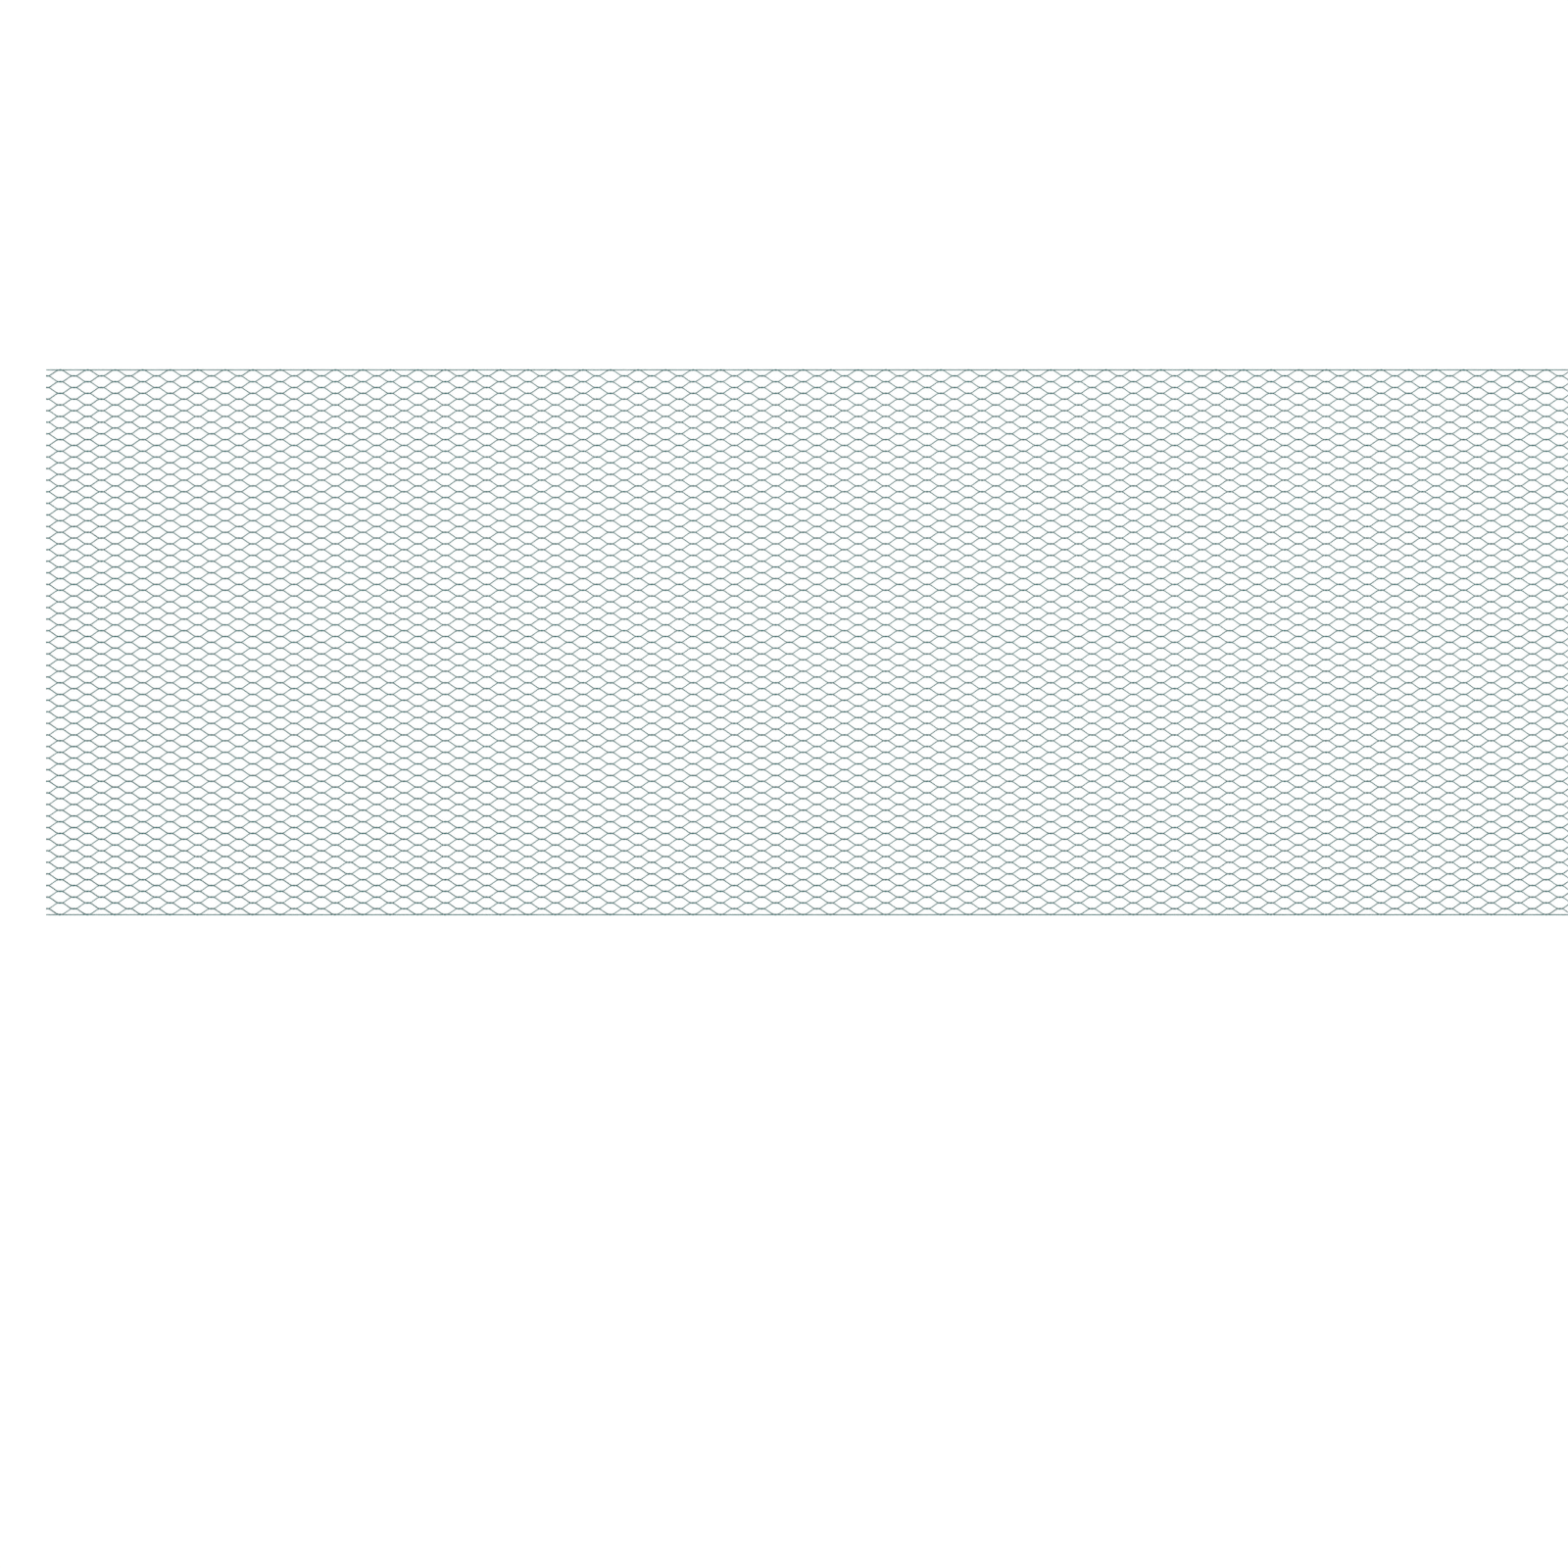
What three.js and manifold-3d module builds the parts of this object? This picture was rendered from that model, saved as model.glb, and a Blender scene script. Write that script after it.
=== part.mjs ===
// A length of green plastic-coated hexagonal wire netting (chicken wire), lying flat.
// X runs along the roll's length, Y across its width and Z up. The origin is the middle
// of the sheet, on the surface that it lies on. Sizes are in millimetres.
//
// Netting wires run along X in zigzags. Each is twisted in turn with its neighbour on
// one side and on the other, and these twists are the two long sides of every six-sided
// cell. A straight selvedge wire closes each long edge.
//
// The net has over six thousand cells. The solids draw the same net with larger cells:
// one drawn cell stands for a block of real cells, CELLS_PER_DRAWN_CELL each way, and one
// drawn wire for that many real wires side by side. So the outline, the thickness, the
// shape of a cell and the share of the sheet that is open are the real ones.

import * as THREE from "three";
import { mergeVertices } from "three/addons/utils/BufferGeometryUtils.js";
import Module from "manifold-3d";

const wasm = await Module();
wasm.setup();

// The sheet
const SHEET_LENGTH = 2000;
const SELVEDGE_SPACING = 600; // between the middles of the two selvedge wires
const WIRE_DIAMETER = 0.9; // over the plastic coat
const SELVEDGE_DIAMETER = 1;

// One real cell
const MESH_SIZE = 12.7; // between the middles of two facing twists, the half-inch mesh
const CELL_PITCH = 30.3; // from one twist to the next in the same row
const TWIST_LENGTH = 7.4;

// How the solids are drawn
const CELLS_PER_DRAWN_CELL = 3;
const STRIP_NAMES = ["netting_front", "netting_middle", "netting_back"];
const CLEARANCE = 0.3; // between wires that belong to different pieces
const SAME_POINT = 1e-4; // corners nearer than this are one corner

// Two wires wind round each other in a twist, and the sheet is that thick.
const sheetThickness = 2 * WIRE_DIAMETER;
const sheetWidth = SELVEDGE_SPACING + SELVEDGE_DIAMETER;
const drawnWire = WIRE_DIAMETER * CELLS_PER_DRAWN_CELL;

// Rows of twists are half a cell apart, and each wire zigzags between two rows. A strip
// holds an even number of wires, so that both of its edges are rows of the same kind.
const edgeToFirstRow = SELVEDGE_DIAMETER + CLEARANCE / 2;
const rowSpan = sheetWidth - 2 * edgeToFirstRow;
const cellsPerStrip = Math.max(
  1,
  Math.round(rowSpan / (MESH_SIZE * CELLS_PER_DRAWN_CELL * STRIP_NAMES.length)),
);
const wiresPerStrip = 2 * cellsPerStrip;
const rowStep = rowSpan / (wiresPerStrip * STRIP_NAMES.length);
const pitches = Math.max(2, Math.round(SHEET_LENGTH / (CELL_PITCH * CELLS_PER_DRAWN_CELL)));
const pitch = SHEET_LENGTH / pitches;
const twistLength = (TWIST_LENGTH / CELL_PITCH) * pitch;

const rowY = (row) => edgeToFirstRow - sheetWidth / 2 + row * rowStep;

// The sheet is cut through the middle of the twists of the odd rows. The twists of the
// even rows lie half a pitch further on.
const twistX = (row, column) => (column + (row % 2 === 0 ? 0.5 : 0)) * pitch - SHEET_LENGTH / 2;

// Moves each side of a closed polygon to its left by its own distance, and returns the
// corners where neighbouring sides then meet.
function offsetSides(corners, distances) {
  const sides = corners.map((from, i) => {
    const along = corners[(i + 1) % corners.length].clone().sub(from).normalize();
    const left = new THREE.Vector2(-along.y, along.x);
    return { along, start: from.clone().addScaledVector(left, distances[i]) };
  });
  return sides.map((side, i) => {
    const before = sides[(i + sides.length - 1) % sides.length];
    const gap = side.start.clone().sub(before.start);
    const reach = gap.cross(side.along) / before.along.cross(side.along);
    return before.start.clone().addScaledVector(before.along, reach);
  });
}

// The opening of the cell whose middle lies on a row, between two of its twists. The
// diagonals are one wire wide and the twists two.
function cellOpening(row, column) {
  const x = twistX(row, column) + pitch / 2;
  const tip = (pitch - twistLength) / 2;
  const corners = [
    [x - tip, rowY(row)],
    [x - twistLength / 2, rowY(row - 1)],
    [x + twistLength / 2, rowY(row - 1)],
    [x + tip, rowY(row)],
    [x + twistLength / 2, rowY(row + 1)],
    [x - twistLength / 2, rowY(row + 1)],
  ].map(([cx, cy]) => new THREE.Vector2(cx, cy));
  const diagonal = drawnWire / 2;
  const twist = drawnWire;
  return offsetSides(corners, [diagonal, twist, diagonal, diagonal, twist, diagonal]);
}

// The zigzag line of the wire between two rows, from one column past each end.
function wireLine(edgeRow, innerRow) {
  const line = [];
  for (let column = -1; column <= pitches; column += 1) {
    for (const row of [innerRow, edgeRow]) {
      const x = twistX(row, column);
      line.push(new THREE.Vector2(x - twistLength / 2, rowY(row)));
      line.push(new THREE.Vector2(x + twistLength / 2, rowY(row)));
    }
  }
  return line;
}

// A strip's outline follows its two edge wires. A twist's line lies between two wires,
// so the strip's own wire lies inside that line, and the clearance is left beside it.
function stripOutline(firstRow, lastRow) {
  const edge = [
    ...wireLine(firstRow, firstRow + 1),
    ...wireLine(lastRow, lastRow - 1).reverse(),
  ];
  const distances = edge.map((corner, i) => {
    const next = edge[(i + 1) % edge.length];
    const onEdgeRow = [firstRow, lastRow].some(
      (row) => corner.y === rowY(row) && next.y === rowY(row),
    );
    const alongTwist = corner.y === next.y;
    if (onEdgeRow) return CLEARANCE / 2;
    return alongTwist ? -drawnWire : -drawnWire / 2;
  });
  return offsetSides(edge, distances);
}

function solidOf(geometry) {
  const bare = geometry.clone();
  bare.deleteAttribute("normal");
  bare.deleteAttribute("uv");
  const merged = mergeVertices(bare, SAME_POINT);
  return new wasm.Manifold(
    new wasm.Mesh({
      numProp: 3,
      vertProperties: merged.attributes.position.array,
      triVerts: new Uint32Array(merged.index.array),
    }),
  );
}

function geometryOf(solid) {
  const { vertProperties, triVerts } = solid.getMesh();
  const geometry = new THREE.BufferGeometry();
  geometry.setAttribute("position", new THREE.BufferAttribute(vertProperties, 3));
  geometry.setIndex(new THREE.BufferAttribute(triVerts, 1));
  geometry.computeVertexNormals();
  return geometry;
}

// One strip of netting: the plan with its cells left open, as thick as a twist, and cut
// square to the sheet's length.
function nettingStrip(firstRow, lastRow) {
  const plan = new THREE.Shape(stripOutline(firstRow, lastRow));
  for (let row = firstRow + 1; row < lastRow; row += 1) {
    for (let column = -1; column < pitches; column += 1) {
      plan.holes.push(new THREE.Path(cellOpening(row, column)));
    }
  }
  const net = new THREE.ExtrudeGeometry(plan, {
    depth: sheetThickness,
    bevelEnabled: false,
    steps: 1,
  });
  const sheetLength = new THREE.BoxGeometry(SHEET_LENGTH, 2 * sheetWidth, 4 * sheetThickness);
  return geometryOf(solidOf(net).intersect(solidOf(sheetLength)));
}

// A straight wire along one long edge of the sheet, eight-sided, lying on a flat side.
function selvedgeWire() {
  const sides = 8;
  const radius = SELVEDGE_DIAMETER / 2 / Math.cos(Math.PI / sides);
  const wire = new THREE.CylinderGeometry(radius, radius, SHEET_LENGTH, sides);
  wire.rotateY(Math.PI / sides);
  wire.rotateZ(Math.PI / 2);
  return wire;
}

const coatedWire = new THREE.MeshStandardMaterial({
  color: 0x15605c,
  roughness: 0.45,
  metalness: 0,
});

const chickenWire = new THREE.Group();

STRIP_NAMES.forEach((name, i) => {
  const strip = new THREE.Mesh(
    nettingStrip(i * wiresPerStrip, (i + 1) * wiresPerStrip),
    coatedWire.clone(),
  );
  strip.name = name;
  chickenWire.add(strip);
});

for (const [name, side] of [["selvedge_wire_front", -1], ["selvedge_wire_back", 1]]) {
  const wire = new THREE.Mesh(selvedgeWire(), coatedWire.clone());
  wire.name = name;
  wire.position.set(0, (side * SELVEDGE_SPACING) / 2, SELVEDGE_DIAMETER / 2);
  chickenWire.add(wire);
}

export default chickenWire;
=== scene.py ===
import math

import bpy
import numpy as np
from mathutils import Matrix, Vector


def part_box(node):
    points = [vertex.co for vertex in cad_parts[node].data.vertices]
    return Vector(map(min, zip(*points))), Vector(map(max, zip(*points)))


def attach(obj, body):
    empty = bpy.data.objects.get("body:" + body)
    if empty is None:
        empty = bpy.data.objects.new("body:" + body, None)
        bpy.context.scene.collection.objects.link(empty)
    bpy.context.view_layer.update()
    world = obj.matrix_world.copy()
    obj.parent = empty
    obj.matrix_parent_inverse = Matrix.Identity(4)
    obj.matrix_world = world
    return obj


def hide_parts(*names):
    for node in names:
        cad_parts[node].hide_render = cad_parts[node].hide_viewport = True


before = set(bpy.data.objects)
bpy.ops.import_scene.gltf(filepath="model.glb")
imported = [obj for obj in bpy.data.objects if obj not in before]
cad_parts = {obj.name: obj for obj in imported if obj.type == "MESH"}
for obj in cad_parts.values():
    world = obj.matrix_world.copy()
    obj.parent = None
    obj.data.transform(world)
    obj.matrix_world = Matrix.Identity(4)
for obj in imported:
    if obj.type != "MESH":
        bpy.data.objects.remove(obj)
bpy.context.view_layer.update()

# A length of green plastic-coated hexagonal wire netting, lying on a pale floor.
#
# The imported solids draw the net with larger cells. Here every cell has its real size: 94
# zigzag wires run along X, each twisted in turn with its neighbour on one side and on the
# other, and a selvedge wire is wound into the outermost twists along each long edge.
# Lengths are in metres, in the frame of the solids.

MM = 0.001

# The wires
NETTING_WIRE = 0.9 * MM  # over the plastic coat
SELVEDGE_WIRE = 1.0 * MM
STEEL_CORE = 0.6 * MM
SELVEDGE_CORE = 0.7 * MM

# One cell
MESH_SIZE = 12.7 * MM  # between the middles of two facing twists, the half-inch mesh
CELL_PITCH = 30.3 * MM  # from one twist to the next in the same row
TWIST_LENGTH = 7.4 * MM
TURNS = 1  # whole turns in a twist, so each wire leaves on the side that it came from
BEND_REACH = 0.7 * MM  # how far a wire's bend reaches on either side of a twist's end
EDGE_SWAY = 0.3 * MM  # how far a selvedge wire is pushed aside as it is wound into a twist

# How finely a wire is drawn
SIDES = 4
STEPS_IN_HALF_TWIST = 3

# The sheet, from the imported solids. Its rows of twists run along X and are counted from the
# front selvedge to the back one. Both ends are cut through the middle of the odd rows'
# twists, and the even rows' twists lie half a cell further on.
front_box = [np.array(corner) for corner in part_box("selvedge_wire_front")]
back_box = [np.array(corner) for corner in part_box("selvedge_wire_back")]
left_end, front_edge = front_box[0][:2]
right_end, back_edge = back_box[1][:2]
floor_height = front_box[0][2]

first_row = front_edge + SELVEDGE_WIRE / 2 + EDGE_SWAY
last_row = back_edge - SELVEDGE_WIRE / 2 - EDGE_SWAY
row_count = 2 * round((last_row - first_row) / MESH_SIZE)
row_step = (last_row - first_row) / row_count
pitch_count = round((right_end - left_end) / CELL_PITCH)
cell_pitch = (right_end - left_end) / pitch_count

half_twist = TWIST_LENGTH / cell_pitch / 2
diagonal = 0.5 - 2 * half_twist
bend = BEND_REACH / cell_pitch


def twist_phase(row):
    """Where a row's twists lie in a cell's pitch: 0 in an odd row and a half in an even one."""
    return np.where(np.asarray(row) % 2 == 0, 0.5, 0.0)


def sway(row):
    """Radius at which a netting wire circles the line of a row's twists.

    Two netting wires touch on that line. In the outermost rows the selvedge wire is the
    stiffer one, so it circles at EDGE_SWAY and the netting wire at the rest of the distance
    between their middles.
    """
    outermost = (np.asarray(row) == 0) | (np.asarray(row) == row_count)
    beside_selvedge = (NETTING_WIRE + SELVEDGE_WIRE) / 2 - EDGE_SWAY
    return np.where(outermost, beside_selvedge, NETTING_WIRE / 2)


def row_height(row):
    """Height of a row's line, at which its netting wires just reach the floor."""
    return floor_height + sway(row) + NETTING_WIRE / 2


def stations():
    """Places along the sheet where a wire's section is drawn, in pitches from the left end.

    Half a pitch has half a twist in even steps, a bend, a straight diagonal, a bend and half
    the next twist. That is done twice for a pitch, and repeated along the sheet.
    """
    twist = np.linspace(0, half_twist - bend, STEPS_IN_HALF_TWIST + 1)
    slope = np.array([half_twist + bend, 0.5 - half_twist - bend])
    half = np.concatenate([twist, slope, 0.5 - twist[:0:-1]])
    pitch = np.concatenate([half, half + 0.5])
    along = pitch[None, :] + np.arange(pitch_count)[:, None]
    return np.append(along.ravel(), pitch_count)


def from_twist(along, row):
    """Signed distance in pitches from the nearest twist of a row, from -0.5 to 0.5."""
    return (along - twist_phase(row) + 0.5) % 1.0 - 0.5


def rise(distance):
    """How far a wire has gone from its lower row to its upper one, from 0 to 1.

    It is level within the twists and a straight slope between them. Each corner is a
    parabola that touches both, one bend long on either side.
    """

    def bent_slope(t):
        return np.clip(t + bend, 0, 2 * bend) ** 2 / (4 * bend) + np.maximum(t - bend, 0)

    past_twist = np.abs(distance) - half_twist
    return (bent_slope(past_twist) - bent_slope(past_twist - diagonal)) / diagonal


def turn(distance):
    """Angle that a pair has turned through: none before a twist and whole turns after it."""
    return 2 * np.pi * TURNS * np.clip(distance / (2 * half_twist) + 0.5, 0, 1)


def netting_paths(wires):
    """Centre lines of zigzag wires, as an array of (wire, station, xyz).

    A wire is at its lower row in one twist and at its upper row in the next. In a twist it
    circles the row's line: on the upper side of the lower row's line to start with, and on
    the lower side of the upper row's. Between them it goes over from one to the other.
    """
    along = stations()[None, :]
    lower = np.asarray(wires)[:, None]
    upper = lower + 1
    share = rise(from_twist(along, lower))
    low_turn = turn(from_twist(along, lower))
    high_turn = turn(from_twist(along, upper))
    low = (1 - share) * sway(lower)
    high = share * sway(upper)
    y = first_row + (lower + share) * row_step
    y = y + low * np.cos(low_turn) - high * np.cos(high_turn)
    z = (1 - share) * row_height(lower) + share * row_height(upper)
    z = z + low * np.sin(low_turn) - high * np.sin(high_turn)
    x = np.broadcast_to(left_end + along * cell_pitch, y.shape)
    return np.stack([x, y, z], axis=-1)


def selvedge_path(row, outward):
    """Centre line of a selvedge wire, as (1, station, xyz): straight along the outer side of
    the outermost row's line, and circling it opposite the netting wire in each twist.
    """
    along = stations()[None, :]
    turned = turn(from_twist(along, row))
    radius = outward * EDGE_SWAY
    x = left_end + along * cell_pitch
    y = first_row + row * row_step + radius * np.cos(turned)
    z = row_height(row) + radius * np.sin(turned)
    return np.stack([x, y, z], axis=-1)


def wire_mesh(name, paths, diameter, core):
    """Closed tubes along paths: a regular section square to each path at every station.

    A section's first axis is level and its second one is square to that and to the path. A
    path's ends are cut square to X, and a cut shows a round of steel inside the coat.
    """
    count, length = paths.shape[:2]
    ahead = np.gradient(paths, axis=1)
    ahead[:, [0, -1]] = (1.0, 0.0, 0.0)
    ahead /= np.linalg.norm(ahead, axis=-1, keepdims=True)
    level = np.cross((0.0, 0.0, 1.0), ahead)
    level /= np.linalg.norm(level, axis=-1, keepdims=True)
    upright = np.cross(ahead, level)
    angle = 2 * np.pi * np.arange(SIDES) / SIDES
    spokes = (
        np.cos(angle)[:, None] * level[:, :, None, :]
        + np.sin(angle)[:, None] * upright[:, :, None, :]
    )
    skin = paths[:, :, None, :] + diameter / 2 * spokes
    ends = paths[:, [0, -1], None, :] + core / 2 * spokes[:, [0, -1]]

    skin_index = np.arange(count * length * SIDES).reshape(count, length, SIDES)
    end_index = skin_index.size + np.arange(count * 2 * SIDES).reshape(count, 2, SIDES)
    here, there = skin_index[:, :-1], skin_index[:, 1:]
    walls = np.stack(
        [here, there, np.roll(there, -1, axis=2), np.roll(here, -1, axis=2)], axis=-1
    )
    rims = []
    cores = []
    for end, way in ((0, -1), (-1, 1)):
        outer = skin_index[:, end][:, ::way]
        inner = end_index[:, end][:, ::way]
        rims.append(
            np.stack(
                [outer, np.roll(outer, -1, axis=1), np.roll(inner, -1, axis=1), inner], axis=-1
            ).reshape(-1, 4)
        )
        cores.append(inner)
    faces = np.concatenate([walls.reshape(-1, 4), *rims, *cores])

    mesh = bpy.data.meshes.new(name)
    points = np.concatenate([skin.reshape(-1, 3), ends.reshape(-1, 3)])
    mesh.from_pydata(points, [], faces)
    is_core = np.zeros(len(faces), dtype=np.int32)
    is_core[-2 * count :] = 1
    mesh.polygons.foreach_set("material_index", is_core)
    smooth = np.zeros(len(faces), dtype=bool)
    smooth[: walls.size // 4] = True
    mesh.polygons.foreach_set("use_smooth", smooth)
    mesh.materials.append(coat)
    mesh.materials.append(steel)
    mesh.update()
    return mesh


def add_piece(name, mesh, node):
    """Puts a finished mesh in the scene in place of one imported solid."""
    piece = bpy.data.objects.new(name, mesh)
    bpy.context.scene.collection.objects.link(piece)
    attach(piece, "root")
    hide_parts(node)


# Materials, with the real sizes of their patterns
PATCH_SIZE = 45 * MM  # dust and handling marks on the coat
PEEL_SIZE = 0.6 * MM  # orange peel, which shows only close up
PEEL_DEPTH = 0.02 * MM
PEEL_STRENGTH = 0.25
SHEAR_MARK_SIZE = 0.25 * MM
PAPER_GRAIN_SIZE = 4 * MM
PVC_IOR = 1.53
SMOOTHEST_COAT = 0.34  # roughness, with the patches between these two
ROUGHEST_COAT = 0.5
CUT_STEEL_ROUGHNESS = 0.42


def linear(hex_colour):
    """An sRGB hex colour as the linear RGBA that shaders take."""
    parts = [int(hex_colour[i : i + 2], 16) / 255 for i in (1, 3, 5)]
    return [p / 12.92 if p <= 0.04045 else ((p + 0.055) / 1.055) ** 2.4 for p in parts] + [1.0]


def add_node(tree, kind, inputs=None, links=None, **settings):
    """Adds a node, sets its settings and input values, and links other nodes' outputs in."""
    node = tree.nodes.new(kind)
    for name, value in settings.items():
        setattr(node, name, value)
    for name, value in (inputs or {}).items():
        node.inputs[name].default_value = value
    for name, output in (links or {}).items():
        tree.links.new(output, node.inputs[name])
    return node


def new_material(name):
    material = bpy.data.materials.new(name)
    material.use_nodes = True
    material.node_tree.nodes.clear()
    return material, material.node_tree


def pvc_coat():
    """Extruded and fused PVC on wire: an even satin green, a little chalky in patches.

    The colour drifts slowly from one part of the sheet to another, as dust and handling
    leave it. The skin has the faint orange peel of a coat that was melted on.
    """
    material, tree = new_material("fused_pvc_coat")
    place = add_node(tree, "ShaderNodeTexCoord").outputs["Object"]
    patches = add_node(
        tree, "ShaderNodeTexNoise", {"Scale": 1 / PATCH_SIZE, "Detail": 3.0, "Roughness": 0.6},
        {"Vector": place},
    )
    colour = add_node(
        tree, "ShaderNodeMix", {6: linear("#0b5b59"), 7: linear("#15716f")},
        {0: patches.outputs["Fac"]}, data_type="RGBA",
    )
    gloss = add_node(
        tree, "ShaderNodeMapRange", {"To Min": SMOOTHEST_COAT, "To Max": ROUGHEST_COAT},
        {"Value": patches.outputs["Fac"]},
    )
    peel = add_node(
        tree, "ShaderNodeTexNoise", {"Scale": 1 / PEEL_SIZE, "Detail": 1.0}, {"Vector": place}
    )
    bump = add_node(
        tree, "ShaderNodeBump", {"Strength": PEEL_STRENGTH, "Distance": PEEL_DEPTH},
        {"Height": peel.outputs["Fac"]},
    )
    shader = add_node(
        tree, "ShaderNodeBsdfPrincipled", {"IOR": PVC_IOR},
        {
            "Base Color": colour.outputs[2],
            "Roughness": gloss.outputs["Result"],
            "Normal": bump.outputs["Normal"],
        },
    )
    add_node(tree, "ShaderNodeOutputMaterial", links={"Surface": shader.outputs["BSDF"]})
    return material


def zinc_core():
    """Galvanised steel wire where it is cut: bright grey with darker shear marks."""
    material, tree = new_material("cut_galvanised_steel")
    place = add_node(tree, "ShaderNodeTexCoord").outputs["Object"]
    marks = add_node(
        tree, "ShaderNodeTexNoise", {"Scale": 1 / SHEAR_MARK_SIZE, "Detail": 2.0},
        {"Vector": place},
    )
    colour = add_node(
        tree, "ShaderNodeMix", {6: linear("#8f9496"), 7: linear("#c4c8ca")},
        {0: marks.outputs["Fac"]}, data_type="RGBA",
    )
    shader = add_node(
        tree, "ShaderNodeBsdfPrincipled", {"Metallic": 1.0, "Roughness": CUT_STEEL_ROUGHNESS},
        {"Base Color": colour.outputs[2]},
    )
    add_node(tree, "ShaderNodeOutputMaterial", links={"Surface": shader.outputs["BSDF"]})
    return material


def studio_floor():
    """Matt white paper with a barely visible grain."""
    material, tree = new_material("matt_white_paper")
    place = add_node(tree, "ShaderNodeTexCoord").outputs["Object"]
    grain = add_node(
        tree, "ShaderNodeTexNoise", {"Scale": 1 / PAPER_GRAIN_SIZE, "Detail": 2.0},
        {"Vector": place},
    )
    colour = add_node(
        tree, "ShaderNodeMix", {6: linear("#eeeeee"), 7: linear("#f2f2f2")},
        {0: grain.outputs["Fac"]}, data_type="RGBA",
    )
    shader = add_node(tree, "ShaderNodeBsdfDiffuse", links={"Color": colour.outputs[2]})
    add_node(tree, "ShaderNodeOutputMaterial", links={"Surface": shader.outputs["BSDF"]})
    return material


coat = pvc_coat()
steel = zinc_core()

# The netting, in pieces of about 16 wires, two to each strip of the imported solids
STRIPS = ("netting_front", "netting_middle", "netting_back")
groups = np.array_split(np.arange(row_count), 2 * len(STRIPS))
for i, wires in enumerate(groups):
    strip = STRIPS[i // 2]
    half = ("front_half", "back_half")[i % 2]
    name = f"{strip}_{half}_wires"
    add_piece(name, wire_mesh(name, netting_paths(wires), NETTING_WIRE, STEEL_CORE), strip)

for side, row, outward in (("front", 0, -1), ("back", row_count, 1)):
    name = f"selvedge_{side}"
    path = selvedge_path(row, outward)
    add_piece(name, wire_mesh(name, path, SELVEDGE_WIRE, SELVEDGE_CORE), f"selvedge_wire_{side}")

# The floor, reaching well past any view, and just clear of the wires' undersides
FLOOR_HALF = 12.0
FLOOR_DROP = 0.05 * MM
floor_mesh = bpy.data.meshes.new("floor")
floor_corners = [
    (FLOOR_HALF * x, FLOOR_HALF * y, floor_height - FLOOR_DROP)
    for x, y in ((-1, -1), (1, -1), (1, 1), (-1, 1))
]
floor_mesh.from_pydata(floor_corners, [], [(0, 1, 2, 3)])
floor_mesh.materials.append(studio_floor())
floor = bpy.data.objects.new("floor", floor_mesh)
bpy.context.scene.collection.objects.link(floor)

# Light: a soft lamp high overhead, so that the shadows lie under the wires, and a white
# surround that is dimmer overhead than near the horizon
LAMP_STRENGTH = 2.8
LAMP_SPREAD = math.radians(24)
LAMP_TILT = math.radians(7)
HORIZON_BRIGHTNESS = 1.05
OVERHEAD_BRIGHTNESS = 0.22
DIMMING_START = 0.15  # height on a sphere of radius 1 around the scene
DIMMING_END = 0.5
world = bpy.data.worlds.new("white_surround")
bpy.context.scene.world = world
world.use_nodes = True
world.node_tree.nodes.clear()
sky = world.node_tree
direction = add_node(
    sky, "ShaderNodeSeparateXYZ",
    links={"Vector": add_node(sky, "ShaderNodeTexCoord").outputs["Generated"]},
)
brightness = add_node(
    sky, "ShaderNodeMapRange",
    {
        "From Min": DIMMING_START, "From Max": DIMMING_END,
        "To Min": HORIZON_BRIGHTNESS, "To Max": OVERHEAD_BRIGHTNESS,
    },
    {"Value": direction.outputs["Z"]},
)
surround = add_node(
    sky, "ShaderNodeBackground", {"Color": (1.0, 1.0, 1.0, 1.0)},
    {"Strength": brightness.outputs["Result"]},
)
add_node(sky, "ShaderNodeOutputWorld", links={"Surface": surround.outputs[0]})

lamp_data = bpy.data.lights.new("soft_key", "SUN")
lamp_data.energy = LAMP_STRENGTH
lamp_data.angle = LAMP_SPREAD
lamp = bpy.data.objects.new("soft_key", lamp_data)
lamp.rotation_euler = (LAMP_TILT, -LAMP_TILT, 0.0)
bpy.context.scene.collection.objects.link(lamp)

scene = bpy.context.scene
scene.view_settings.view_transform = "Standard"
scene.view_settings.look = "None"

# The camera looks straight down, and its picture spans view_width on the floor.
IMAGE_WIDTH = 1600  # pixels
LEFT_END_PIXEL = 47.4  # where the sheet's left end shows
MIDDLE_PIXEL = 655.5  # where the middle of the sheet's width shows, from the top
PIXELS_PER_CELL = 28.075
CAMERA_HEIGHT = 2.57
SENSOR_WIDTH = 36.0  # millimetres, as Blender counts a lens
FARTHEST_SEEN = 100.0
pixel = cell_pitch / PIXELS_PER_CELL
view_width = IMAGE_WIDTH * pixel

camera_data = bpy.data.cameras.new("camera")
camera_data.sensor_width = SENSOR_WIDTH
camera_data.lens = SENSOR_WIDTH * CAMERA_HEIGHT / view_width
camera_data.clip_end = FARTHEST_SEEN
camera = bpy.data.objects.new("camera", camera_data)
camera.location = (
    left_end + (IMAGE_WIDTH / 2 - LEFT_END_PIXEL) * pixel,
    (front_edge + back_edge) / 2 - (IMAGE_WIDTH / 2 - MIDDLE_PIXEL) * pixel,
    CAMERA_HEIGHT + floor_height,
)
scene.collection.objects.link(camera)
scene.camera = camera
